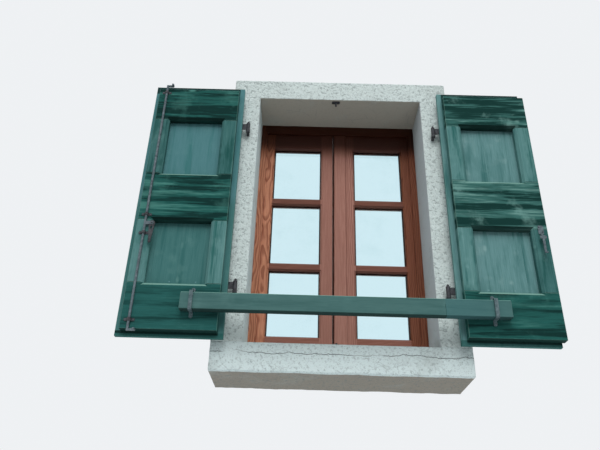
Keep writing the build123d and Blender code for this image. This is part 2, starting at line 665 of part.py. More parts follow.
def sash_hinge_half(side, z, on_frame):
    """Half of a sash hinge: the pin half on the frame or the barrel half on the sash."""
    x = side * SASH_PIN_X
    radius = SASH_BARREL_DIAMETER / 2
    arm_y = (WINDOW_BACK, WINDOW_BACK + SASH_ARM_THICKNESS)
    if on_frame:
        height = (z - SASH_BARREL_HEIGHT, z)
        arm = block((x, x + side * SASH_ARM_LENGTH), arm_y, height)
        pin = upright(SASH_PIN_DIAMETER / 2, x, SASH_PIN_Y, (z - OVERCUT, z + SASH_PIN_REACH))
        return upright(radius, x, SASH_PIN_Y, height) + arm + pin
    height = (z + SASH_BARREL_GAP, z + SASH_BARREL_HEIGHT)
    arm = block((x - side * SASH_ARM_LENGTH, x), arm_y, height)
    bore_depth = z + SASH_PIN_REACH + SASH_BORE_SPARE
    bore = upright(SASH_PIN_DIAMETER / 2 + SASH_PIN_PLAY, x, SASH_PIN_Y, (z - OVERCUT, bore_depth))
    return upright(radius, x, SASH_PIN_Y, height) + arm - bore


def window_handle():
    """The rose on the room side of the right sash and the handle that turns in it."""
    x, z = WINDOW_HANDLE_X, WINDOW_HANDLE_Z
    face = WINDOW_BACK + ROSE_THICKNESS
    rose_x = (x - ROSE_WIDTH / 2, x + ROSE_WIDTH / 2)
    rose = block(rose_x, (WINDOW_BACK, face), (z - ROSE_HEIGHT / 2, z + ROSE_HEIGHT / 2))
    rose = chamfer(rose.edges().filter_by(Axis.Y), ROSE_CUT)
    rose -= across(SPINDLE_DIAMETER / 2 + SPINDLE_PLAY, x, (WINDOW_BACK - OVERCUT, face + OVERCUT), z)
    neck_end = WINDOW_BACK + ROSE_THICKNESS + SPINDLE_LENGTH
    neck = across(SPINDLE_DIAMETER / 2, x, (WINDOW_BACK + SPINDLE_PLAY, neck_end), z)
    grip = block((x - GRIP_WIDTH / 2, x + GRIP_WIDTH / 2), (neck_end - GRIP_THICKNESS, neck_end),
                 (z - GRIP_LENGTH, z + GRIP_WIDTH / 2))
    grip = chamfer(grip.edges().filter_by(Axis.Y), GRIP_CHAMFER)
    grip = chamfer(grip.faces().sort_by(Axis.Y)[-1].edges(), GRIP_EDGE)
    return {"window_handle_rose": rose, "window_handle": neck + grip}


def leaf(side, name, far):
    """Every node of one leaf, apart from its ironwork for closing."""
    pieces = {f"{name}_boards": boards(side, far)}
    for part_name, piece in leaf_frame(side).items():
        pieces[f"{name}_{part_name}"] = piece
    pieces[f"{name}_upper_strap"] = strap(side, UPPER_HINGE_Z)
    pieces[f"{name}_lower_strap"] = strap(side, LOWER_HINGE_Z)
    pieces[f"{name}_strap_bolts"] = strap_bolts(side, UPPER_HINGE_Z) + strap_bolts(side, LOWER_HINGE_Z)
    pieces[f"{name}_bar_staple"] = staple(side)
    return pieces


def build():
    """All the nodes of the assembly, by name."""
    nodes = stones()
    for side, name in ((-1, "left"), (1, "right")):
        nodes[f"{name}_upper_pintle"] = pintle(side, UPPER_HINGE_Z)
        nodes[f"{name}_lower_pintle"] = pintle(side, LOWER_HINGE_Z)
    nodes["top_keeper"] = hook_keeper(LINTEL_UNDERSIDE, -1, TOP_STUD_LENGTH)
    nodes["bottom_keeper"] = hook_keeper(SILL_TOP, 1, BOTTOM_STUD_LENGTH)
    nodes.update(leaf(-1, "left_leaf", LEFT_BOARD_FAR))
    nodes.update(leaf(1, "right_leaf", RIGHT_BOARD_FAR))
    nodes["rod_guides"] = rod_guides()
    nodes["turning_rod"] = turning_rod()
    nodes["lever_rivet"] = lever_rivet()
    nodes["rod_lever"] = lever()
    nodes["lever_catch"] = lever_catch()
    nodes["guard_bar"] = guard_bar()
    nodes.update(window_frame())
    pins = []
    for side, name in ((-1, "left_sash"), (1, "right_sash")):
        for part_name, piece in sash(side).items():
            nodes[f"{name}_{part_name}"] = piece
        nodes[f"{name}_hinge_barrels"] = [sash_hinge_half(side, z, False) for z in SASH_HINGE_HEIGHTS]
        pins += [sash_hinge_half(side, z, True) for z in SASH_HINGE_HEIGHTS]
    nodes["sash_hinge_pins"] = pins
    nodes["astragal"] = astragal()
    nodes.update(window_handle())
    return nodes


os.makedirs("parts", exist_ok=True)
for node_name, node_shape in build().items():
    save(node_name, node_shape)
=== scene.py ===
import math

import bmesh
import bpy
from mathutils import Euler, Matrix, Vector, noise


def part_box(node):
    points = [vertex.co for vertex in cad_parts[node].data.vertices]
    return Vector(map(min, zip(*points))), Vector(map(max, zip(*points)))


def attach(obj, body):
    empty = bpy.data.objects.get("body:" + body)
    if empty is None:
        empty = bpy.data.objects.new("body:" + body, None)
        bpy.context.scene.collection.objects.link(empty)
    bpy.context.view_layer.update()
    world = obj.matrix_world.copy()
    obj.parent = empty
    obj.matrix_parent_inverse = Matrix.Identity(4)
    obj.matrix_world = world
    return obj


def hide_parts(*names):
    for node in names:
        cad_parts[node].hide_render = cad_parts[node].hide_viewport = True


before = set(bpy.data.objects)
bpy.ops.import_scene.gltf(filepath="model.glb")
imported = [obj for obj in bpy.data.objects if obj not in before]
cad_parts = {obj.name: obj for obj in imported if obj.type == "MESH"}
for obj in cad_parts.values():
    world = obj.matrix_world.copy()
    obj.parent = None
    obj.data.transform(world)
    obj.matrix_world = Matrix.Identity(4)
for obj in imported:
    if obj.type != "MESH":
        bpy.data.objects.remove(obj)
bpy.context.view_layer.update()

# The view from the street below, up at the window
EYE = Vector((-0.1852, -2.7836, -0.7970))
LOOK_YAW = -0.0079
LOOK_PITCH = 0.5097
LOOK_ROLL = 0.0304
LENS = 37.63
STREET_Z = -2.4
STREET_REACH = 5

# The sky: its strength near the ground and overhead, its colour as light and its colour as seen
LOW_LIGHT = 0.1
SKY_LIGHT = 0.9
LIGHT_HEIGHTS = (-0.3, 0.7)
DAYLIGHT = (0.93, 0.97, 1.0, 1)
SEEN_SKY = (0.86, 0.88, 0.90, 1)

# The surround's plain faces and its opening, in metres
OUTER_X = 0.606
TOP_Z = 1.718
STONE_DEPTH = 0.310
OPENING_X = 0.455
SILL_Z = 0.137
LINTEL_Z = 1.585

# The grid of the render: its cells, how many lie from front to back, and how they crowd to the front
RENDER_CELL = 0.005
DEPTH_CELLS = 26
DEPTH_CROWDING = 1.5

# How near to a plane a point counts as on it
TOUCH = 1e-4

# How deep the surround stands out before its bedded faces begin
STANDING_OUT = 0.03

# How far weather has worn the arrises of the render
OUTER_ROUNDING = 0.009
REVEAL_ROUNDING = 0.007

# How far from its arrises the outline wavers, and how deep the front's and the reveal's lumps go
WAVER_REACH = 0.03
FRONT_LUMP_REACH = 0.02
REVEAL_LUMP_REACH = 0.01

# The crack in the sill: its mean height and how far it drifts
SILL_CRACK_Z = 0.088
CRACK_DRIFT = 0.075

# The leaves: their boards, the frame of rails and stiles on them, where the stain changes from the
# lower to the upper panel, and their weather face
LEAF_BOARD_WIDTH = {"left": 0.1235, "right": 0.11375}
LEAF_BOARD_START = {"left": -1.034, "right": 0.540}
FRAME_TOP = 1.551
FRAME_BOTTOM = 0.151
FRAME_START = 0.566
LEAF_MIDDLE_Z = (0.80, 0.90)
WEATHER_FACE_Y = (-0.0550, -0.0555)

# Where in the grain the pieces are cut: the steps between rails, stiles and boards of a leaf, how far
# off the boards lie, and the bar's centre
RAIL_STEP = (2.3, 1.7, -0.6)
STILE_STEP = (3.1, 1.2, 3.3)
BOARD_STEP = (3.7, 1.3)
BOARDS_OFF = 5.2
BAR_CENTRE = (0, 1.1, 4.1)

# The bar's crack and where it fades out
BAR_CRACK_X = 0.462
BAR_CRACK_Z = (0.300, 0.285)

# The ironwork's screws
STAPLE_X = 0.690
STAPLE_FEET_Z = (0.216, 0.3455)
STAPLE_FOOT_Y = -0.100
ROD_X = -0.965
GUIDE_HEIGHTS = (0.192, 0.638, 0.741, 1.520)
GUIDE_SCREW_STEP = 0.018
GUIDE_FACE_Y = -0.099
CATCH_X = 0.973
CATCH_FACE_Y = -0.0995
CATCH_SCREWS = ((-0.008, 0.726), (0.008, 0.700))
KEEPER_SCREWS_X = (-0.038, -0.006)
KEEPER_SCREWS_Y = 0.024
TOP_KEEPER_Z = 1.582
BOTTOM_KEEPER_Z = 0.140
IRON_SCREW = 0.003
STAPLE_SCREW = 0.0035
SLOT_TURN = 0.7
SLOT_TURN_STEP = 2.1

# Ways that a face looks
TO_STREET = (0, -1, 0)
TO_ROOM = (0, 1, 0)

# The sashes: their panes, where the painted shade under the lintel begins on them, their beads and their seal
PANE_X = (0.096, 0.371)
PANE_HEIGHTS = ((0.258, 0.627), (0.671, 1.036), (1.080, 1.422))
GLASS_BACK = 0.289
LINTEL_SHADE_Z = (1.33, 1.465)
BEAD_WIDTH = 0.009
BEAD_HEIGHT = 0.011
BEAD_ROUNDING = 0.003
SEAL_LOW = (-0.02495, 0.268, 0.174)
SEAL_HIGH = (-0.0215, 0.309, 1.533)
SEAL_ROUNDING = 0.0006

# The window's fittings and their screws
SASH_HINGE_HEIGHTS = (0.330, 1.380)
SASH_PIN_X = 0.4325
HINGE_FACE_Y = 0.314
HINGE_SCREW_SIDE = 0.0125
HINGE_SCREW_STEP = 0.017
HINGE_SCREW = 0.0025
HANDLE_X = 0.038
HANDLE_Z = 0.840
ROSE_FACE_Y = 0.318
ROSE_SCREW_STEP = 0.024
ROSE_SCREW = 0.0028


def tint(red, green, blue):
    """A colour as it is seen, each part from 0 to 255, as a shader takes it."""
    def linear(value):
        value /= 255
        return value / 12.92 if value <= 0.04045 else ((value + 0.055) / 1.055) ** 2.4
    return linear(red), linear(green), linear(blue), 1


RAIL_GREENS = (tint(18, 50, 47), tint(37, 91, 85), tint(84, 142, 132))
PALER_RAIL_GREENS = (tint(20, 54, 50), tint(60, 106, 100), tint(120, 164, 156))
BOTTOM_RAIL_GREENS = (tint(24, 60, 57), tint(42, 94, 90), tint(80, 138, 130))
SOAKED_STILE_GREENS = (tint(32, 78, 74), tint(66, 109, 107), tint(98, 140, 136))
STILE_GREENS = (tint(48, 98, 94), tint(92, 134, 132), tint(118, 158, 155))
LOWER_PANEL_GREENS = (tint(50, 98, 96), tint(72, 117, 115), tint(94, 136, 132))
PANEL_GREENS = {"left": (tint(62, 114, 114), tint(84, 128, 132), tint(102, 146, 146)),
                "right": (tint(62, 108, 106), tint(104, 144, 144), tint(136, 168, 166))}
BAR_GREENS = (tint(54, 89, 87), tint(77, 112, 109), tint(96, 133, 129))
# Pale green for worn arrises and for painted sky light on faces that look up
WORN_AND_LIT_GREEN = tint(128, 168, 156)
# Near-black green for painted shade under the leaves' pieces, and for the boards' darker bands
PAINTED_SHADE_GREEN = tint(14, 34, 31)
BLUER_GREEN = tint(66, 108, 110)
CRACK_GREEN = tint(24, 52, 50)
VARNISH_EARLY = tint(200, 138, 108)
VARNISH_LATE = tint(106, 47, 30)
# A darker varnish, painted shade, for the right jamb and the right hinge stile
SHADED_EARLY = tint(142, 90, 68)
SHADED_LATE = tint(86, 40, 26)
BROWN_EARLY = tint(168, 122, 108)
BROWN_LATE = tint(112, 66, 56)
LIME = tint(210, 221, 218)
# A paler lime, painted light, for the sill's front and the left reveal
LIT_LIME = tint(218, 232, 231)
PIT = tint(116, 126, 126)
GRIME = tint(168, 176, 172)
CRACK_GREY = tint(78, 86, 84)
# A darker lime, painted shade, for the right reveal
SHADED_REVEAL_LIME = tint(192, 199, 201)
SOFFIT_LIME = tint(168, 162, 150)
BEDDING = tint(150, 144, 132)
IRON_DARK = tint(46, 46, 50)
IRON_RUBBED = tint(112, 114, 118)
WORN_DARK = tint(74, 86, 92)
WORN_RUBBED = tint(124, 138, 144)
STAPLE_DARK = tint(68, 86, 90)
STAPLE_RUBBED = tint(112, 132, 136)
STEEL_DARK = tint(112, 110, 108)
STEEL = tint(150, 148, 144)
BRASS_DARK = tint(150, 116, 62)
BRASS = tint(186, 150, 88)
RUBBER_DARK = tint(44, 26, 22)
RUBBER_PALE = tint(66, 42, 36)
CLEAR_PANE = tint(220, 248, 254)
DUSTY_PANE = tint(212, 242, 248)
GROUND_GREY = tint(224, 226, 228)
GROUND_WHITE = tint(230, 231, 232)


# Shader nodes

def put(tree, kind, inputs=None, **settings):
    """Add a shader node; each input is a plain value or the socket that feeds it."""
    made = tree.nodes.new("ShaderNode" + kind)
    for name, value in settings.items():
        setattr(made, name, value)
    for name, value in (inputs or {}).items():
        if isinstance(value, bpy.types.NodeSocket):
            tree.links.new(value, made.inputs[name])
        else:
            made.inputs[name].default_value = value
    return made


def reckon(tree, operation, first, second=0.0, third=0.0):
    return put(tree, "Math", {0: first, 1: second, 2: third}, operation=operation).outputs[0]


def fade(tree, value, start, end):
    """0 at start and 1 at end, smooth between; start may be the higher one."""
    return put(tree, "MapRange", {"Value": value, "From Min": start, "From Max": end},
               interpolation_type="SMOOTHSTEP").outputs["Result"]


def blend(tree, factor, under, over, way="MIX"):
    return put(tree, "Mix", {0: factor, 6: under, 7: over}, data_type="RGBA", blend_type=way).outputs[2]


def part(tree, place, axis):
    """One of the three numbers of a place: 0, 1 or 2."""
    return put(tree, "SeparateXYZ", {0: place}).outputs[axis]


def scaled(tree, place, factors):
    return put(tree, "VectorMath", {0: place, 1: factors}, operation="MULTIPLY").outputs[0]


def grit(tree, place, scale, detail=4.0, rough=0.55, warp=0.0):
    return put(tree, "TexNoise", {"Vector": place, "Scale": scale, "Detail": detail, "Roughness": rough,
                                  "Distortion": warp}).outputs["Fac"]


def new_group(name, inputs, outputs):
    """A shader node group with named inputs and outputs, and its inner ends."""
    tree = bpy.data.node_groups.new(name, "ShaderNodeTree")
    for label, kind, default in inputs:
        socket = tree.interface.new_socket(label, in_out="INPUT", socket_type="NodeSocket" + kind)
        if default is not None:
            socket.default_value = default
    for label, kind in outputs:
        tree.interface.new_socket(label, in_out="OUTPUT", socket_type="NodeSocket" + kind)
    return tree, tree.nodes.new("NodeGroupInput").outputs, tree.nodes.new("NodeGroupOutput").inputs


def weathered_stain():
    """Green stain that weather has banded along the grain, which runs along X, with pale knots."""
    tree, given, result = new_group(
        "weathered_stain",
        [("Place", "Vector", None), ("Deep", "Color", None), ("Middle", "Color", None),
         ("Pale", "Color", None), ("Banding", "Float", 1.0), ("Fading", "Float", 0.3),
         ("Soaking", "Float", 0.5)],
        [("Color", "Color"), ("Height", "Float"), ("Roughness", "Float")])
    place = given["Place"]
    broad = grit(tree, scaled(tree, place, (1.6, 24, 24)), 1.0, 5.0, 0.6, 0.35)
    strands = grit(tree, scaled(tree, place, (4, 80, 80)), 1.0, 4.0, 0.6)
    pores = grit(tree, scaled(tree, place, (14, 620, 620)), 1.0, 2.0, 0.5)
    patches = grit(tree, place, 8.0, 4.0, 0.6)
    bands = reckon(tree, "MULTIPLY_ADD", strands, 0.25, reckon(tree, "MULTIPLY", broad, 0.75))
    swing = reckon(tree, "MULTIPLY", reckon(tree, "SUBTRACT", bands, 0.5), given["Banding"])
    colour = blend(tree, fade(tree, swing, 0.01, -0.07), given["Middle"], given["Deep"])
    light = fade(tree, swing, 0.03, 0.15)
    colour = blend(tree, reckon(tree, "MULTIPLY", light, 0.7), colour, given["Pale"])
    faded = reckon(tree, "MULTIPLY", fade(tree, patches, 0.54, 0.72), given["Fading"])
    colour = blend(tree, faded, colour, given["Pale"])
    long_patches = grit(tree, scaled(tree, place, (5, 13, 13)), 1.0, 3.0, 0.6)
    soaked = reckon(tree, "MULTIPLY", fade(tree, long_patches, 0.50, 0.37), given["Soaking"])
    colour = blend(tree, soaked, colour, given["Deep"])
    fine = reckon(tree, "MULTIPLY", fade(tree, pores, 0.60, 0.44), 0.25)
    colour = blend(tree, fine, colour, given["Deep"])
    spots = put(tree, "TexVoronoi", {"Vector": scaled(tree, place, (6.0, 11.0, 11.0)), "Scale": 1.0})
    knot = reckon(tree, "MULTIPLY", fade(tree, spots.outputs["Distance"], 0.17, 0.04),
                  fade(tree, patches, 0.44, 0.58))
    colour = blend(tree, reckon(tree, "MULTIPLY", knot, 0.7), colour, given["Pale"])
    tree.links.new(colour, result["Color"])
    lift = reckon(tree, "MULTIPLY_ADD", strands, 0.6, reckon(tree, "MULTIPLY", pores, 0.5))
    tree.links.new(lift, result["Height"])
    tree.links.new(reckon(tree, "MULTIPLY_ADD", strands, 0.25, 0.55), result["Roughness"])
    return tree


def varnished_rings():
    """Varnished softwood that shows its year rings; the tree's axis runs along X through 0."""
    tree, given, result = new_group(
        "varnished_rings",
        [("Place", "Vector", None), ("Early", "Color", None), ("Late", "Color", None),
         ("Ring", "Float", 0.007), ("Shade", "Float", 1.0), ("Sway", "Float", 0.05)],
        [("Color", "Color"), ("Height", "Float"), ("Roughness", "Float")])
    place = given["Place"]
    across = scaled(tree, place, (0.0, 1.0, 1.0))
    radius = put(tree, "VectorMath", {0: across}, operation="LENGTH").outputs["Value"]
    wander = grit(tree, scaled(tree, place, (2.8, 7, 7)), 1.0, 3.0, 0.5)
    radius = reckon(tree, "MULTIPLY_ADD", wander, given["Sway"], radius)
    turn = reckon(tree, "FRACT", reckon(tree, "DIVIDE", radius, given["Ring"]))
    late = reckon(tree, "MULTIPLY", fade(tree, turn, 0.25, 0.85), fade(tree, turn, 1.0, 0.9))
    fibres = grit(tree, scaled(tree, place, (9, 420, 420)), 1.0, 3.0, 0.6)
    broad = grit(tree, scaled(tree, place, (1.5, 12, 12)), 1.0, 3.0, 0.5)
    colour = blend(tree, reckon(tree, "MULTIPLY", late, reckon(tree, "MULTIPLY_ADD", broad, 0.9, 0.2)),
                   given["Early"], given["Late"])
    colour = blend(tree, reckon(tree, "MULTIPLY", fade(tree, fibres, 0.62, 0.42), 0.3), colour, given["Late"])
    # Painted shade from the Shade input, painted light above 1, with a random tone from the broad noise; the
    # darker, the redder
    depth = reckon(tree, "MULTIPLY", given["Shade"], reckon(tree, "MULTIPLY_ADD", broad, 0.5, 0.72))
    shade_and_tone = put(tree, "CombineColor", {"Red": depth, "Green": reckon(tree, "POWER", depth, 1.2),
                                      "Blue": reckon(tree, "POWER", depth, 1.3)}).outputs["Color"]
    tree.links.new(blend(tree, 1.0, colour, shade_and_tone, "MULTIPLY"), result["Color"])
    tree.links.new(reckon(tree, "MULTIPLY_ADD", fibres, 0.5, late), result["Height"])
    tree.links.new(reckon(tree, "MULTIPLY_ADD", fibres, 0.18, 0.3), result["Roughness"])
    return tree


def worn_arris():
    """1 near the edges of a box, where weather wears the finish off."""
    tree, given, result = new_group(
        "worn_arris",
        [("Place", "Vector", None), ("Low", "Vector", None), ("High", "Vector", None),
         ("Reach", "Float", 0.006)],
        [("Mask", "Float")])
    place = given["Place"]
    below = put(tree, "VectorMath", {0: place, 1: given["Low"]}, operation="SUBTRACT").outputs[0]
    above = put(tree, "VectorMath", {0: given["High"], 1: place}, operation="SUBTRACT").outputs[0]
    nearest = put(tree, "VectorMath", {0: below, 1: above}, operation="MINIMUM").outputs[0]
    parts = put(tree, "SeparateXYZ", {0: nearest}).outputs
    least = reckon(tree, "MINIMUM", parts[0], parts[1])
    most = reckon(tree, "MAXIMUM", parts[0], parts[1])
    second = reckon(tree, "MAXIMUM", least, reckon(tree, "MINIMUM", most, parts[2]))
    ragged = reckon(tree, "MULTIPLY", grit(tree, place, 38.0, 5.0, 0.7), 2.0)
    ratio = reckon(tree, "DIVIDE", second, reckon(tree, "MULTIPLY", ragged, given["Reach"]))
    tree.links.new(fade(tree, ratio, 1.0, 0.35), result["Mask"])
    return tree


def thrown_render():
    """Thrown lime render: grains, dark pits, fine cracks and damp stains."""
    tree, given, result = new_group(
        "thrown_render",
        [("Place", "Vector", None), ("Lime", "Color", None), ("Pit", "Color", None), ("Grime", "Color", None),
         ("Pitting", "Float", 1.0)],
        [("Color", "Color"), ("Height", "Float")])
    place = given["Place"]
    grains = grit(tree, place, 150.0, 4.0, 0.65)
    lumps = grit(tree, place, 62.0, 4.0, 0.65)
    holes = put(tree, "TexVoronoi", {"Vector": place, "Scale": 62.0}).outputs["Distance"]
    pits = reckon(tree, "MULTIPLY", fade(tree, holes, 0.34, 0.14), fade(tree, lumps, 0.54, 0.42))
    hollows = reckon(tree, "MULTIPLY", fade(tree, lumps, 0.455, 0.36), 0.8)
    specks = reckon(tree, "MULTIPLY", fade(tree, grains, 0.44, 0.34), 0.7)
    pits = reckon(tree, "MAXIMUM", reckon(tree, "MAXIMUM", pits, specks), hollows)
    pits = reckon(tree, "MULTIPLY", pits, given["Pitting"])
    waver = put(tree, "TexNoise", {"Vector": place, "Scale": 26.0, "Detail": 4.0}).outputs["Color"]
    bent = put(tree, "VectorMath", {0: place, 1: scaled(tree, waver, (0.035, 0.035, 0.035))}).outputs[0]
    web = put(tree, "TexVoronoi", {"Vector": scaled(tree, bent, (0.7, 1.0, 1.8)), "Scale": 10.0},
              feature="DISTANCE_TO_EDGE").outputs["Distance"]
    cracks = reckon(tree, "MULTIPLY", fade(tree, web, 0.024, 0.006),
                    fade(tree, grit(tree, place, 9.0), 0.5, 0.6))
    marks = reckon(tree, "MAXIMUM", reckon(tree, "MULTIPLY", pits, 0.8),
                   reckon(tree, "MULTIPLY", cracks, 0.35))
    damp_and_shade = reckon(tree, "MULTIPLY", fade(tree, grit(tree, place, 4.0, 5.0, 0.65), 0.5, 0.72), 0.4)
    colour = blend(tree, damp_and_shade, given["Lime"], given["Grime"])
    tree.links.new(blend(tree, marks, colour, given["Pit"]), result["Color"])
    height = reckon(tree, "MULTIPLY_ADD", grains, 0.5, reckon(tree, "MULTIPLY", lumps, 0.9))
    tree.links.new(reckon(tree, "MULTIPLY_ADD", marks, -0.35, height), result["Height"])
    return tree


def forged_skin():
    """Hammered metal, dark in its dents and rubbed bright on its high places."""
    tree, given, result = new_group(
        "forged_skin",
        [("Place", "Vector", None), ("Dark", "Color", None), ("Rubbed", "Color", None),
         ("Wear", "Float", 0.7)],
        [("Color", "Color"), ("Height", "Float"), ("Roughness", "Float")])
    place = given["Place"]
    dents = grit(tree, place, 70.0, 2.0, 0.5)
    skin = grit(tree, place, 420.0, 3.0, 0.6)
    rubbed = reckon(tree, "MULTIPLY_ADD", dents, 0.7, reckon(tree, "MULTIPLY", skin, 0.3))
    bright = reckon(tree, "MULTIPLY", fade(tree, rubbed, 0.3, 0.7), given["Wear"])
    tree.links.new(blend(tree, bright, given["Dark"], given["Rubbed"]), result["Color"])
    tree.links.new(reckon(tree, "MULTIPLY_ADD", skin, 0.3, dents), result["Height"])
    tree.links.new(reckon(tree, "MULTIPLY_ADD", bright, -0.25, 0.6), result["Roughness"])
    return tree


STAIN = weathered_stain()
RINGS = varnished_rings()
ARRIS = worn_arris()
RENDER = thrown_render()
SKIN = forged_skin()


# Materials

def inside(finish):
    """A material's tree, its shader and the coordinates of the piece."""
    tree = finish.node_tree
    return tree, tree.nodes["Principled BSDF"], put(tree, "TexCoord").outputs["Object"]


def new_finish(name):
    made = bpy.data.materials.new(name)
    made.use_nodes = True
    return made, *inside(made)


def facing(tree, axis):
    """How far the surface looks along an axis, from -1 to 1."""
    return part(tree, put(tree, "TexCoord").outputs["Normal"], axis)


def effect(tree, group, inputs):
    return put(tree, "Group", inputs, node_tree=group).outputs


def relief(tree, shader, height, strength, depth):
    bump = put(tree, "Bump", {"Strength": strength, "Distance": depth, "Height": height})
    tree.links.new(bump.outputs["Normal"], shader.inputs["Normal"])


def along_grain(tree, place, axis, centre):
    """The piece's coordinates from a centre line, turned so that its grain runs along X."""
    turn = Euler((0, math.radians(90) if axis == "Z" else 0, 0))
    start = -(turn.to_matrix() @ Vector(centre))
    return put(tree, "Mapping", {"Vector": place, "Location": start, "Rotation": turn}).outputs[0]


def board_shift(tree, place, start, width):
    """Another place in the grain for each board of a leaf."""
    along = reckon(tree, "SUBTRACT", part(tree, place, 0), start)
    board = reckon(tree, "FLOOR", reckon(tree, "DIVIDE", along, width))
    return put(tree, "CombineXYZ", {"X": reckon(tree, "MULTIPLY", board, BOARD_STEP[0]),
                                    "Y": reckon(tree, "MULTIPLY", board, BOARD_STEP[1])}).outputs[0]


def board_shadow_and_band(tree, place):
    """Where the boards are painted darker: a band above the frame of rails and stiles, and a painted shadow
    just under it.
    """
    height = part(tree, place, 2)
    # The painted shadow that the frame casts on the boards just under it
    under = reckon(tree, "MINIMUM", fade(tree, height, FRAME_BOTTOM - 0.014, FRAME_BOTTOM - 0.006),
                   fade(tree, height, FRAME_BOTTOM + 0.006, FRAME_BOTTOM + 0.002))
    ends = reckon(tree, "MAXIMUM", fade(tree, height, FRAME_TOP - 0.002, FRAME_TOP), under)
    beside = fade(tree, reckon(tree, "ABSOLUTE", part(tree, place, 0)), FRAME_START - 0.002, FRAME_START)
    return reckon(tree, "MULTIPLY", reckon(tree, "MULTIPLY", ends, beside), 0.85)


def stained_wood(name, axis, centre, greens, banding, fading, soaking, boards=None, upper_greens=None):
    """Green stained softwood, worn pale along its arrises, with painted light on faces that look up and
    painted shade below.

    Boards are given as where the first one starts and how wide each is.
    """
    made, tree, shader, place = new_finish(name)
    grain_place = along_grain(tree, place, axis, centre)
    height = part(tree, place, 2)
    if boards:
        shift = board_shift(tree, place, *boards)
        grain_place = put(tree, "VectorMath", {0: grain_place, 1: shift}).outputs[0]
    if upper_greens:
        upper = fade(tree, height, *LEAF_MIDDLE_Z)
        greens = [blend(tree, upper, below, above) for below, above in zip(greens, upper_greens)]
    deep, middle, pale = greens
    grain = effect(tree, STAIN, {"Place": grain_place, "Deep": deep, "Middle": middle, "Pale": pale,
                                 "Banding": banding, "Fading": fading, "Soaking": soaking})
    low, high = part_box(name)
    edge = effect(tree, ARRIS, {"Place": place, "Low": low, "High": high, "Reach": 0.003})["Mask"]
    # Painted sky light: faces that look up turn pale green, alongside the real wear at the arrises
    upward = fade(tree, facing(tree, 2), 0.25, 0.7)
    worn_and_lit = reckon(tree, "MAXIMUM", reckon(tree, "MULTIPLY", edge, 0.3), reckon(tree, "MULTIPLY", upward, 0.7))
    colour = blend(tree, worn_and_lit, grain["Color"], WORN_AND_LIT_GREEN)
    # Painted shade: on the boards under the frame, with a darker band above it; on other pieces on every face
    # that looks down
    if boards:
        foot = reckon(tree, "MULTIPLY", fade(tree, height, FRAME_BOTTOM + 0.004, FRAME_BOTTOM), 0.7)
        colour = blend(tree, foot, colour, RAIL_GREENS[1])
        damp_and_shade = board_shadow_and_band(tree, place)
    else:
        damp_and_shade = reckon(tree, "MULTIPLY", fade(tree, facing(tree, 2), -0.3, -0.8), 0.8)
    tree.links.new(blend(tree, damp_and_shade, colour, PAINTED_SHADE_GREEN), shader.inputs["Base Color"])
    tree.links.new(grain["Roughness"], shader.inputs["Roughness"])
    shader.inputs["Specular IOR Level"].default_value = 0.05
    relief(tree, shader, grain["Height"], 0.35, 0.002)
    return made


def crossed_by_crack(finish, crack_x):
    """A fine crack across the bar, with the stain a little bluer beyond it."""
    tree, shader, place = inside(finish)
    wander = reckon(tree, "MULTIPLY_ADD", grit(tree, place, 40.0), 0.006, crack_x - 0.003)
    past = reckon(tree, "SUBTRACT", part(tree, place, 0), wander)
    crack = fade(tree, reckon(tree, "ABSOLUTE", past), 0.0014, 0.0005)
    crack = reckon(tree, "MULTIPLY", crack, fade(tree, part(tree, place, 2), *BAR_CRACK_Z))
    colour = shader.inputs["Base Color"].links[0].from_socket
    bluer = reckon(tree, "MULTIPLY", fade(tree, past, 0.0, 0.002), fade(tree, past, 0.4, 0.1))
    colour = blend(tree, reckon(tree, "MULTIPLY", bluer, 0.5), colour, BLUER_GREEN)
    tree.links.new(blend(tree, reckon(tree, "MULTIPLY", crack, 0.8), colour, CRACK_GREEN),
                   shader.inputs["Base Color"])
    return finish


def varnished_wood(name, axis, centre, early, late, shade, ring, sway):
    """Varnished wood whose faces to the street get the piece's painted shade, deepened by painted shade under
    the lintel.
    """
    made, tree, shader, place = new_finish(name)
    # Painted shade: the street faces darken by each piece's shade and more toward the lintel
    lintel_shade = fade(tree, part(tree, place, 2), *LINTEL_SHADE_Z)
    outdoors = fade(tree, facing(tree, 1), 0.6, 0.2)
    shade_level = reckon(tree, "MULTIPLY", reckon(tree, "MULTIPLY_ADD", lintel_shade, -0.85, 1.0), shade)
    lost = reckon(tree, "MULTIPLY", outdoors, reckon(tree, "SUBTRACT", 1.0, shade_level))
    grain = effect(tree, RINGS, {"Place": along_grain(tree, place, axis, centre), "Early": early,
                                 "Late": late, "Ring": ring, "Shade": reckon(tree, "SUBTRACT", 1.0, lost),
                                 "Sway": sway})
    tree.links.new(grain["Color"], shader.inputs["Base Color"])
    tree.links.new(grain["Roughness"], shader.inputs["Roughness"])
    shader.inputs["Specular IOR Level"].default_value = 0.15
    relief(tree, shader, grain["Height"], 0.25, 0.0006)
    return made


def metal(name, dark, rubbed, wear, metallic, depth):
    """A forged or worn skin, which with no metallic part serves for rubber too."""
    made, tree, shader, place = new_finish(name)
    skin = effect(tree, SKIN, {"Place": place, "Dark": dark, "Rubbed": rubbed, "Wear": wear})
    tree.links.new(skin["Color"], shader.inputs["Base Color"])
    tree.links.new(skin["Roughness"], shader.inputs["Roughness"])
    shader.inputs["Metallic"].default_value = metallic
    relief(tree, shader, skin["Height"], 0.4, depth)
    return made


def stained_over(finish, greens):
    """Cover an ironwork finish with stain on the leaf's weather face."""
    tree, shader, place = inside(finish)
    cover = fade(tree, part(tree, place, 1), *WEATHER_FACE_Y)
    bare = shader.inputs["Base Color"].links[0].from_socket
    tree.links.new(blend(tree, cover, bare, greens[1]), shader.inputs["Base Color"])
    tree.links.new(reckon(tree, "MULTIPLY_ADD", cover, -0.35, 0.35), shader.inputs["Metallic"])
    return finish


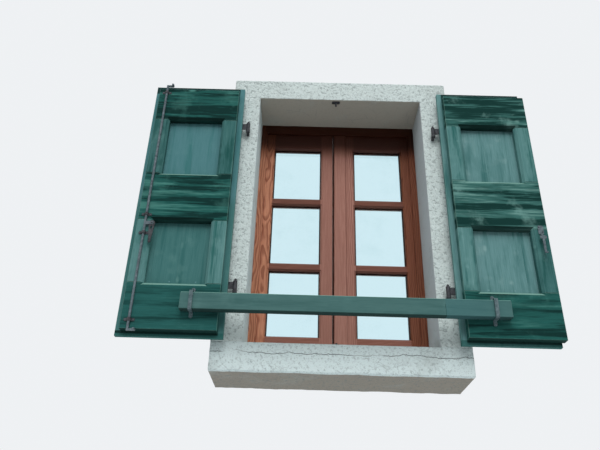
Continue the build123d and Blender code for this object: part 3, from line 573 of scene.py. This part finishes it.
def render_coat(name, lime, pitting, depth, crack_z=None):
    """Lime render; a crack may run along the stone at a height."""
    made, tree, shader, place = new_finish(name)
    coat = effect(tree, RENDER, {"Place": place, "Lime": lime, "Pit": PIT, "Grime": GRIME,
                                 "Pitting": pitting})
    colour, height = coat["Color"], coat["Height"]
    if crack_z:
        line = scaled(tree, place, (1, 0, 0))
        drift = reckon(tree, "MULTIPLY_ADD", grit(tree, line, 5.0, 6.0, 0.65), CRACK_DRIFT,
                       crack_z - CRACK_DRIFT / 2)
        away = reckon(tree, "ABSOLUTE", reckon(tree, "SUBTRACT", part(tree, place, 2), drift))
        crack = reckon(tree, "MULTIPLY", fade(tree, away, 0.0024, 0.0006),
                       fade(tree, grit(tree, line, 3.2, 2.0), 0.40, 0.48))
        colour = blend(tree, reckon(tree, "MULTIPLY", crack, 0.85), colour, CRACK_GREY)
        height = reckon(tree, "MULTIPLY_ADD", crack, -0.6, height)
    tree.links.new(colour, shader.inputs["Base Color"])
    shader.inputs["Roughness"].default_value = 0.92
    relief(tree, shader, height, 0.7, depth)
    return made


def window_glass():
    """Thin pale glass with a little dust in patches."""
    made, tree, shader, place = new_finish("pale_pane")
    dust = fade(tree, grit(tree, place, 5.0, 6.0, 0.7), 0.45, 0.8)
    tree.links.new(blend(tree, dust, CLEAR_PANE, DUSTY_PANE), shader.inputs["Base Color"])
    tree.links.new(reckon(tree, "MULTIPLY", dust, 0.08), shader.inputs["Roughness"])
    shader.inputs["Transmission Weight"].default_value = 1
    shader.inputs["IOR"].default_value = 1.5
    relief(tree, shader, grit(tree, place, 5.0, 2.0, 0.4), 0.05, 0.004)
    return made


def dress(node, finish):
    """Give a CAD node its finish."""
    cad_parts[node].material_slots[0].material = finish


# Shapes

def box_shape(low, high, cells=(1, 1, 1)):
    """A box whose faces are divided into a grid of cells."""
    shape = bmesh.new()
    bmesh.ops.create_cube(shape, size=1)
    size = Vector(high) - Vector(low)
    bmesh.ops.scale(shape, verts=shape.verts, vec=size)
    bmesh.ops.translate(shape, verts=shape.verts, vec=(Vector(low) + Vector(high)) / 2)
    for axis, count in enumerate(cells):
        if count > 1:
            along = [edge for edge in shape.edges
                     if abs(edge.verts[0].co[axis] - edge.verts[1].co[axis]) > size[axis] / 2]
            bmesh.ops.subdivide_edges(shape, edges=along, cuts=count - 1, use_grid_fill=True)
    return shape


def make_piece(name, shape, body, finishes, smooth=False):
    """A piece of the object from a finished shape."""
    for face in shape.faces:
        face.smooth = smooth
    mesh = bpy.data.meshes.new(name)
    shape.to_mesh(mesh)
    shape.free()
    for finish in finishes:
        mesh.materials.append(finish)
    piece = bpy.data.objects.new(name, mesh)
    bpy.context.collection.objects.link(piece)
    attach(piece, body)
    return piece


def into_stone(x, z):
    """The way from the opening's edge into the stone at a point, and how far in the point lies."""
    near = Vector((min(max(x, -OPENING_X), OPENING_X), min(max(z, SILL_Z), LINTEL_Z)))
    away = Vector((x, z)) - near
    if away.length > TOUCH:
        return away.normalized(), away.length
    edge = Vector((0, 0))
    if abs(abs(x) - OPENING_X) < TOUCH:
        edge.x = math.copysign(1, x)
    if abs(z - LINTEL_Z) < TOUCH:
        edge.y = 1
    if abs(z - SILL_Z) < TOUCH:
        edge.y = -1
    return edge.normalized(), 0


def thrown_on(point):
    """Where a point of the plain surround lies on its worn render, which never stands proud of it."""
    side = math.copysign(1, point.x)
    waver = max(0, 0.0022 + 0.0030 * noise.noise(point * 7) + 0.0016 * noise.noise(point * 31))
    lumps = max(0, 0.0018 + 0.0018 * noise.noise(point * 48) + 0.0010 * noise.noise(point * 95))
    inward, depth_in = into_stone(point.x, point.z)
    moved = point.copy()
    moved.x -= side * waver * max(0, 1 - (OUTER_X - abs(point.x)) / WAVER_REACH)
    moved.z -= waver * max(0, 1 - (TOP_Z - point.z) / WAVER_REACH)
    moved.z += waver * max(0, 1 - point.z / WAVER_REACH)
    moved.y += lumps * max(0, 1 - point.y / FRONT_LUMP_REACH)
    slight = 0.3 * lumps * max(0, 1 - depth_in / REVEAL_LUMP_REACH)
    moved.x += inward.x * slight
    moved.z += inward.y * slight
    core = Vector((min(abs(moved.x), OUTER_X - OUTER_ROUNDING), max(moved.y, OUTER_ROUNDING),
                   min(max(moved.z, OUTER_ROUNDING), TOP_Z - OUTER_ROUNDING)))
    proud = Vector((abs(moved.x), moved.y, moved.z)) - core
    if proud.length > OUTER_ROUNDING:
        moved = core + proud * (OUTER_ROUNDING / proud.length)
        moved.x *= side
    depth_in += slight
    if depth_in < REVEAL_ROUNDING and moved.y < REVEAL_ROUNDING:
        corner = Vector((depth_in - REVEAL_ROUNDING, moved.y - REVEAL_ROUNDING))
        if corner.length > REVEAL_ROUNDING:
            drawn = corner * (REVEAL_ROUNDING / corner.length)
            moved.x += inward.x * (drawn.x - corner.x)
            moved.z += inward.y * (drawn.x - corner.x)
            moved.y += drawn.y - corner.y
    return moved


def bedded(point):
    """Whether a point of a stone's face lies in the wall."""
    outer = abs(abs(point.x) - OUTER_X) < TOUCH or abs(point.z - TOP_Z) < TOUCH or point.z < TOUCH
    return point.y > STONE_DEPTH - TOUCH or (outer and point.y > STANDING_OUT)


# Places of a stone's finishes in its mesh, after the front's, which is 0
REVEAL, SOFFIT, BED = 1, 2, 3


def rendered_stone(name, low, high):
    """One stone of the surround under its render, in place of the plain block."""
    cells = [max(1, round((high[0] - low[0]) / RENDER_CELL)), DEPTH_CELLS,
             max(1, round((high[1] - low[1]) / RENDER_CELL))]
    shape = box_shape((low[0], 0, low[1]), (high[0], STONE_DEPTH, high[1]), cells)
    for corner in shape.verts:
        corner.co.y = STONE_DEPTH * (corner.co.y / STONE_DEPTH) ** DEPTH_CROWDING
    for face in shape.faces:
        middle = face.calc_center_median()
        if abs(abs(middle.x) - OPENING_X) < TOUCH:
            face.material_index = REVEAL
        elif abs(middle.z - LINTEL_Z) < TOUCH and abs(middle.x) < OPENING_X:
            face.material_index = SOFFIT
        elif bedded(middle):
            face.material_index = BED
    for corner in shape.verts:
        corner.co = thrown_on(corner.co)
    # The sill's front and the left reveal carry painted light, the right reveal painted shade
    front = CRACKED_COAT if name == "sill" else ROUGH_COAT
    reveal = LIT_REVEAL_COAT if name == "jamb_left" else SHADED_REVEAL_COAT
    piece = make_piece("rendered_" + name, shape, "surround",
                       (front, reveal, SOFFIT_COAT, BEDDING_FACE), smooth=True)
    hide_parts(name)


def screw_mesh(radius):
    """A slotted screw head with a rounded rim that faces up, with its seat at 0."""
    shape = bmesh.new()
    height = radius * 0.55
    slot_half = radius * 0.13
    bmesh.ops.create_cone(shape, cap_ends=True, segments=20, radius1=radius, radius2=radius * 0.86,
                          depth=height)
    bmesh.ops.translate(shape, verts=shape.verts, vec=(0, 0, height / 2))
    rim = [edge for edge in shape.edges if all(v.co.z > height * 0.9 for v in edge.verts)]
    bmesh.ops.bevel(shape, geom=rim, offset=radius * 0.22, affect="EDGES", segments=2, profile=0.5,
                    material=-1)
    for side in (-1, 1):
        bmesh.ops.bisect_plane(shape, geom=shape.verts[:] + shape.edges[:] + shape.faces[:],
                               plane_co=(0, side * slot_half, 0), plane_no=(0, 1, 0))
    slot = [face for face in shape.faces
            if face.normal.z > 0.9 and abs(face.calc_center_median().y) < slot_half]
    bmesh.ops.inset_region(shape, faces=slot, thickness=radius * 0.02, depth=-radius * 0.25)
    mesh = bpy.data.meshes.new("screw_head")
    shape.to_mesh(mesh)
    shape.free()
    return mesh


def screws(name, body, finish, spots, outward, radius):
    """Slotted screw heads at some spots of a body, each slot turned its own way."""
    pattern = screw_mesh(radius)
    shape = bmesh.new()
    for count, spot in enumerate(spots):
        known = len(shape.verts)
        shape.from_mesh(pattern)
        shape.verts.ensure_lookup_table()
        fresh = shape.verts[known:]
        turn = (Vector(outward).to_track_quat("Z", "Y").to_matrix()
                @ Matrix.Rotation(SLOT_TURN + SLOT_TURN_STEP * count, 3, "Z"))
        bmesh.ops.rotate(shape, verts=fresh, matrix=turn)
        bmesh.ops.translate(shape, verts=fresh, vec=spot)
    bpy.data.meshes.remove(pattern)
    make_piece(name, shape, body, (finish,))


def glazing_beads(sash, sign, finish):
    """The beads that hold a sash's panes, on the room side."""
    width = PANE_X[1] - PANE_X[0]
    shape = bmesh.new()
    for low_z, high_z in PANE_HEIGHTS:
        known = len(shape.verts)
        bmesh.ops.create_grid(shape, x_segments=1, y_segments=1, size=0.5)
        shape.verts.ensure_lookup_table()
        fresh = shape.verts[known:]
        bmesh.ops.scale(shape, verts=fresh, vec=(width, high_z - low_z, 1))
        bmesh.ops.rotate(shape, verts=fresh, matrix=Matrix.Rotation(math.radians(-90), 3, "X"))
        bmesh.ops.translate(shape, verts=fresh, vec=(sign * (PANE_X[0] + width / 2), GLASS_BACK,
                                                     (low_z + high_z) / 2))
    panes = shape.faces[:]
    bmesh.ops.inset_individual(shape, faces=panes, thickness=BEAD_WIDTH)
    bmesh.ops.delete(shape, geom=panes, context="FACES")
    raised = bmesh.ops.extrude_face_region(shape, geom=shape.faces[:])["geom"]
    top = [corner for corner in raised if isinstance(corner, bmesh.types.BMVert)]
    bmesh.ops.translate(shape, verts=top, vec=(0, BEAD_HEIGHT, 0))
    bmesh.ops.recalc_face_normals(shape, faces=shape.faces)
    rims = [edge for edge in shape.edges
            if all(v.co.y > GLASS_BACK + BEAD_HEIGHT / 2 for v in edge.verts)
            and edge.calc_face_angle(0) > 1]
    bmesh.ops.bevel(shape, geom=rims, offset=BEAD_ROUNDING, affect="EDGES", segments=3, profile=0.5,
                    material=-1)
    make_piece(sash + "_glazing_beads", shape, sash, (finish,))


def seal_strip(finish):
    """The dark rubber seal in the joint where the sashes meet."""
    shape = box_shape(SEAL_LOW, SEAL_HIGH)
    bmesh.ops.bevel(shape, geom=shape.edges[:], offset=SEAL_ROUNDING, affect="EDGES", segments=2, profile=0.5,
                    material=-1)
    make_piece("meeting_seal", shape, "right_sash", (finish,))


# View, light and ground

def set_view():
    """The camera in the street, with its tilt and its slight roll."""
    forward = Vector((math.sin(LOOK_YAW) * math.cos(LOOK_PITCH),
                      math.cos(LOOK_YAW) * math.cos(LOOK_PITCH), math.sin(LOOK_PITCH)))
    level = Vector((math.cos(LOOK_YAW), -math.sin(LOOK_YAW), 0))
    upward = level.cross(forward)
    side = level * math.cos(LOOK_ROLL) + upward * math.sin(LOOK_ROLL)
    top = upward * math.cos(LOOK_ROLL) - level * math.sin(LOOK_ROLL)
    lens = bpy.data.cameras.new("street_camera")
    lens.lens = LENS
    lens.sensor_width = 36
    lens.clip_start = 0.05
    camera = bpy.data.objects.new("street_camera", lens)
    camera.matrix_world = Matrix.Translation(EYE) @ Matrix((side, top, -forward)).transposed().to_4x4()
    bpy.context.collection.objects.link(camera)
    bpy.context.scene.camera = camera


def soft_lamp(name, place, aim, size, power):
    """A large soft lamp that shines at a point and shows neither in the panes nor through them."""
    lamp = bpy.data.lights.new(name, "AREA")
    lamp.shape = "DISK"
    lamp.size = size
    lamp.energy = power
    shade = bpy.data.objects.new(name, lamp)
    shade.location = place
    shade.visible_glossy = False
    shade.visible_transmission = False
    shade.rotation_euler = (Vector(aim) - Vector(place)).to_track_quat("-Z", "Y").to_euler()
    bpy.context.collection.objects.link(shade)


def pale_sky():
    """A sky that lights from above and shows as an even pale background, in glass and metal too."""
    world = bpy.data.worlds.new("pale_sky")
    world.use_nodes = True
    tree = world.node_tree
    tree.nodes.clear()
    path = put(tree, "LightPath").outputs
    height = part(tree, put(tree, "TexCoord").outputs["Generated"], 2)
    low, high = LIGHT_HEIGHTS
    level = put(tree, "MapRange", {"Value": height, "From Min": low, "From Max": high, "To Min": LOW_LIGHT,
                                   "To Max": SKY_LIGHT}).outputs["Result"]
    lit = put(tree, "Background", {"Color": DAYLIGHT, "Strength": level})
    seen = put(tree, "Background", {"Color": SEEN_SKY, "Strength": 1.0})
    direct = reckon(tree, "MAXIMUM", path["Is Camera Ray"], path["Is Glossy Ray"])
    either = reckon(tree, "MAXIMUM", direct, path["Is Transmission Ray"])
    choose = put(tree, "MixShader", {0: either, 1: lit.outputs[0], 2: seen.outputs[0]})
    put(tree, "OutputWorld", {"Surface": choose.outputs[0]})
    bpy.context.scene.world = world


def street():
    """The pale floor below the window."""
    shape = bmesh.new()
    bmesh.ops.create_grid(shape, x_segments=1, y_segments=1, size=STREET_REACH)
    bmesh.ops.translate(shape, verts=shape.verts, vec=(0, 0, STREET_Z))
    mesh = bpy.data.meshes.new("street")
    shape.to_mesh(mesh)
    shape.free()
    ground = bpy.data.objects.new("street", mesh)
    bpy.context.collection.objects.link(ground)
    paint, tree, shader, place = new_finish("pale_ground")
    tree.links.new(blend(tree, grit(tree, place, 3.0), GROUND_GREY, GROUND_WHITE),
                   shader.inputs["Base Color"])
    shader.inputs["Roughness"].default_value = 0.9
    mesh.materials.append(paint)


bpy.context.scene.view_settings.view_transform = "Standard"
set_view()
pale_sky()
street()
soft_lamp("sky_light", place=(0.6, -12, 12.5), aim=(0, 0, 0.9), size=12.0, power=1900)


# The shutters: the greens, banding and fading of each rail, from the top down
LEAF_RAILS = {
    "left": ((RAIL_GREENS, 1.5, 0.3), (RAIL_GREENS, 1.5, 0.3), (BOTTOM_RAIL_GREENS, 0.6, 0.2)),
    "right": ((PALER_RAIL_GREENS, 1.6, 0.6), (PALER_RAIL_GREENS, 1.6, 0.6), (RAIL_GREENS, 0.8, 0.3)),
}

# The greens of the stiles beside the upper and the lower panel
LEAF_STILES = {
    "left_leaf_hinge_stiles": (SOAKED_STILE_GREENS, STILE_GREENS),
    "left_leaf_free_stiles": (SOAKED_STILE_GREENS, STILE_GREENS),
    "right_leaf_hinge_stiles": (STILE_GREENS, STILE_GREENS),
    "right_leaf_free_stiles": (STILE_GREENS, SOAKED_STILE_GREENS),
}

# The boards: the greens of the lower panel, banding and soaking
LEAF_BOARDS = {"left": (LOWER_PANEL_GREENS, 0.35, 0.1), "right": (PANEL_GREENS["right"], 0.45, 0.3)}

for side, sign in (("left", -1), ("right", 1)):
    leaf = side + "_leaf"
    for number, rail in enumerate(("top_rail", "middle_rail", "bottom_rail")):
        node = leaf + "_" + rail
        centre = (sign * RAIL_STEP[0] * (number + 1), RAIL_STEP[1] * number, sign * RAIL_STEP[2] * number)
        greens, banding, fading = LEAF_RAILS[side][number]
        dress(node, stained_wood(node, "X", centre, greens, banding, fading, soaking=0.3))
    for number, stile in enumerate(("hinge_stiles", "free_stiles")):
        node = leaf + "_" + stile
        centre = (sign * STILE_STEP[0] * (number + 1), STILE_STEP[1] * number, STILE_STEP[2] * number)
        upper, lower = LEAF_STILES[node]
        dress(node, stained_wood(node, "Z", centre, lower, banding=0.7, fading=0.4, soaking=0.6,
                                 upper_greens=upper))
    node = leaf + "_boards"
    lower, banding, soaking = LEAF_BOARDS[side]
    dress(node, stained_wood(node, "Z", (0, 0, sign * BOARDS_OFF), lower, banding, 0.4, soaking,
                             boards=(LEAF_BOARD_START[side], LEAF_BOARD_WIDTH[side]),
                             upper_greens=PANEL_GREENS[side]))

bar_finish = stained_wood("guard_bar", "X", BAR_CENTRE, BAR_GREENS, banding=0.3, fading=0.3, soaking=0.2)
dress("guard_bar", crossed_by_crack(bar_finish, BAR_CRACK_X))

# The ironwork
IRON = metal("forged_iron", IRON_DARK, IRON_RUBBED, wear=0.35, metallic=0.35, depth=0.0004)
WORN_IRON = metal("worn_iron", WORN_DARK, WORN_RUBBED, wear=0.6, metallic=0.4, depth=0.0002)
STAPLE_IRON = metal("staple_iron", STAPLE_DARK, STAPLE_RUBBED, wear=0.7, metallic=0.4, depth=0.0002)
for side in ("left", "right"):
    dress(side + "_leaf_bar_staple", STAPLE_IRON)
    for hanging in ("leaf_lower_strap", "leaf_upper_strap", "lower_pintle", "upper_pintle"):
        dress(side + "_" + hanging, IRON)
for node in ("rod_guides", "rod_lever", "lever_rivet", "top_keeper", "bottom_keeper"):
    dress(node, IRON)
for node in ("turning_rod", "lever_catch"):
    dress(node, WORN_IRON)
for side in ("left", "right"):
    bolts = metal(side + "_bolt_iron", IRON_DARK, IRON_RUBBED, wear=0.35, metallic=0.35, depth=0.0004)
    dress(side + "_leaf_strap_bolts", stained_over(bolts, PANEL_GREENS[side]))

screws("guide_screws", "left_leaf", WORN_IRON,
       [(ROD_X + way * GUIDE_SCREW_STEP, GUIDE_FACE_Y, z) for z in GUIDE_HEIGHTS for way in (-1, 1)],
       TO_STREET, IRON_SCREW)
screws("catch_screws", "right_leaf", IRON,
       [(CATCH_X + step, CATCH_FACE_Y, z) for step, z in CATCH_SCREWS], TO_STREET, IRON_SCREW)
for side, sign in (("left", -1), ("right", 1)):
    screws(side + "_staple_screws", side + "_leaf", WORN_IRON,
           [(sign * STAPLE_X, STAPLE_FOOT_Y, z) for z in STAPLE_FEET_Z], TO_STREET, STAPLE_SCREW)
screws("top_keeper_screws", "surround", IRON,
       [(x, KEEPER_SCREWS_Y, TOP_KEEPER_Z) for x in KEEPER_SCREWS_X], (0, 0, -1), IRON_SCREW)
screws("bottom_keeper_screws", "surround", IRON,
       [(x, KEEPER_SCREWS_Y, BOTTOM_KEEPER_Z) for x in KEEPER_SCREWS_X], (0, 0, 1), IRON_SCREW)

# The surround
ROUGH_COAT = render_coat("rough_coat", LIME, pitting=0.85, depth=0.009)
# The sill's front and the left reveal are painted lighter, the right reveal darker
CRACKED_COAT = render_coat("cracked_coat", LIT_LIME, pitting=0.6, depth=0.008, crack_z=SILL_CRACK_Z)
SHADED_REVEAL_COAT = render_coat("reveal_coat", SHADED_REVEAL_LIME, pitting=0.08, depth=0.001)
LIT_REVEAL_COAT = render_coat("pale_reveal_coat", LIT_LIME, pitting=0.08, depth=0.001)
SOFFIT_COAT = render_coat("soffit_coat", SOFFIT_LIME, pitting=0.2, depth=0.0015)
BEDDING_FACE = render_coat("bedding_face", BEDDING, pitting=0.9, depth=0.009)
rendered_stone("sill", (-OUTER_X, 0), (OUTER_X, SILL_Z))
rendered_stone("lintel", (-OUTER_X, LINTEL_Z), (OUTER_X, TOP_Z))
rendered_stone("jamb_left", (-OUTER_X, SILL_Z), (-OPENING_X, LINTEL_Z))
rendered_stone("jamb_right", (OPENING_X, SILL_Z), (OUTER_X, LINTEL_Z))

# The window: each piece with its grain, the line of its rings, painted shade (painted light where above 1),
# ring width and sway
WINDOW_WOOD = {
    "window_frame_head": ("X", (0, 0.30, 1.62), VARNISH_EARLY, VARNISH_LATE, 0.55, 0.006, 0.04),
    "window_frame_sill": ("X", (0.4, 0.32, 0.12), BROWN_EARLY, BROWN_LATE, 0.9, 0.006, 0.04),
    "window_frame_jamb_left": ("Z", (-0.47, 0.30, 0), VARNISH_EARLY, VARNISH_LATE, 1.0, 0.007, 0.05),
    # The right jamb and hinge stile take the darker varnish, painted shade
    "window_frame_jamb_right": ("Z", (0.47, 0.31, 4.3), SHADED_EARLY, SHADED_LATE, 0.85, 0.006, 0.04),
    "left_sash_hinge_stile": ("Z", (-0.402, 0.305, 7.1), VARNISH_EARLY, VARNISH_LATE, 1.05, 0.0075, 0.07),
    "left_sash_meeting_stile": ("Z", (-0.16, 0.33, 9.4), BROWN_EARLY, BROWN_LATE, 1.0, 0.005, 0.03),
    "right_sash_meeting_stile": ("Z", (0.13, 0.36, 2.2), BROWN_EARLY, BROWN_LATE, 1.05, 0.005, 0.03),
    "right_sash_hinge_stile": ("Z", (0.47, 0.33, 5.5), SHADED_EARLY, SHADED_LATE, 0.9, 0.006, 0.04),
    "astragal": ("Z", (0.09, 0.31, 6.6), BROWN_EARLY, BROWN_LATE, 1.1, 0.0045, 0.03),
}

# The level pieces of a sash, from the bottom up, with their painted shades
SASH_RAILS = (("bottom_rail", 0.85), ("lower_glazing_bar", 0.6), ("upper_glazing_bar", 0.55),
              ("top_rail", 0.7))
for side, sign in (("left", -1), ("right", 1)):
    for number, (rail, shade) in enumerate(SASH_RAILS):
        centre = (sign * 1.9 * number, 0.31, 0.15 + 0.42 * number)
        WINDOW_WOOD[side + "_sash_" + rail] = ("X", centre, BROWN_EARLY, VARNISH_LATE, shade, 0.006, 0.04)
for node, facts in WINDOW_WOOD.items():
    dress(node, varnished_wood(node, *facts))
for sash, sign in (("left_sash", -1), ("right_sash", 1)):
    glazing_beads(sash, sign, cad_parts[sash + "_meeting_stile"].material_slots[0].material)
SEAL = metal("dark_seal", RUBBER_DARK, RUBBER_PALE, wear=0.5, metallic=0.0, depth=0.0003)
SEAL.node_tree.nodes["Principled BSDF"].inputs["Specular IOR Level"].default_value = 0
seal_strip(SEAL)
PANE = window_glass()
dress("left_sash_glass", PANE)
dress("right_sash_glass", PANE)

# The window's fittings
HINGE_STEEL = metal("hinge_steel", STEEL_DARK, STEEL, wear=0.8, metallic=0.9, depth=0.0002)
HANDLE_BRASS = metal("handle_brass", BRASS_DARK, BRASS, wear=0.8, metallic=0.95, depth=0.0002)
for node in ("left_sash_hinge_barrels", "right_sash_hinge_barrels", "sash_hinge_pins"):
    dress(node, HINGE_STEEL)
dress("window_handle", HANDLE_BRASS)
dress("window_handle_rose", HANDLE_BRASS)
screws("rose_screws", "right_sash", HANDLE_BRASS,
       [(HANDLE_X, ROSE_FACE_Y, HANDLE_Z + way * ROSE_SCREW_STEP) for way in (-1, 1)],
       TO_ROOM, ROSE_SCREW)
for side, sign in (("left", -1), ("right", 1)):
    screws(side + "_sash_hinge_screws", side + "_sash", HINGE_STEEL,
           [(sign * (SASH_PIN_X - HINGE_SCREW_SIDE), HINGE_FACE_Y, z + HINGE_SCREW_STEP)
            for z in SASH_HINGE_HEIGHTS], TO_ROOM, HINGE_SCREW)
screws("frame_hinge_screws", "surround", HINGE_STEEL,
       [(sign * (SASH_PIN_X + HINGE_SCREW_SIDE), HINGE_FACE_Y, z - HINGE_SCREW_STEP)
        for sign in (-1, 1) for z in SASH_HINGE_HEIGHTS], TO_ROOM, HINGE_SCREW)
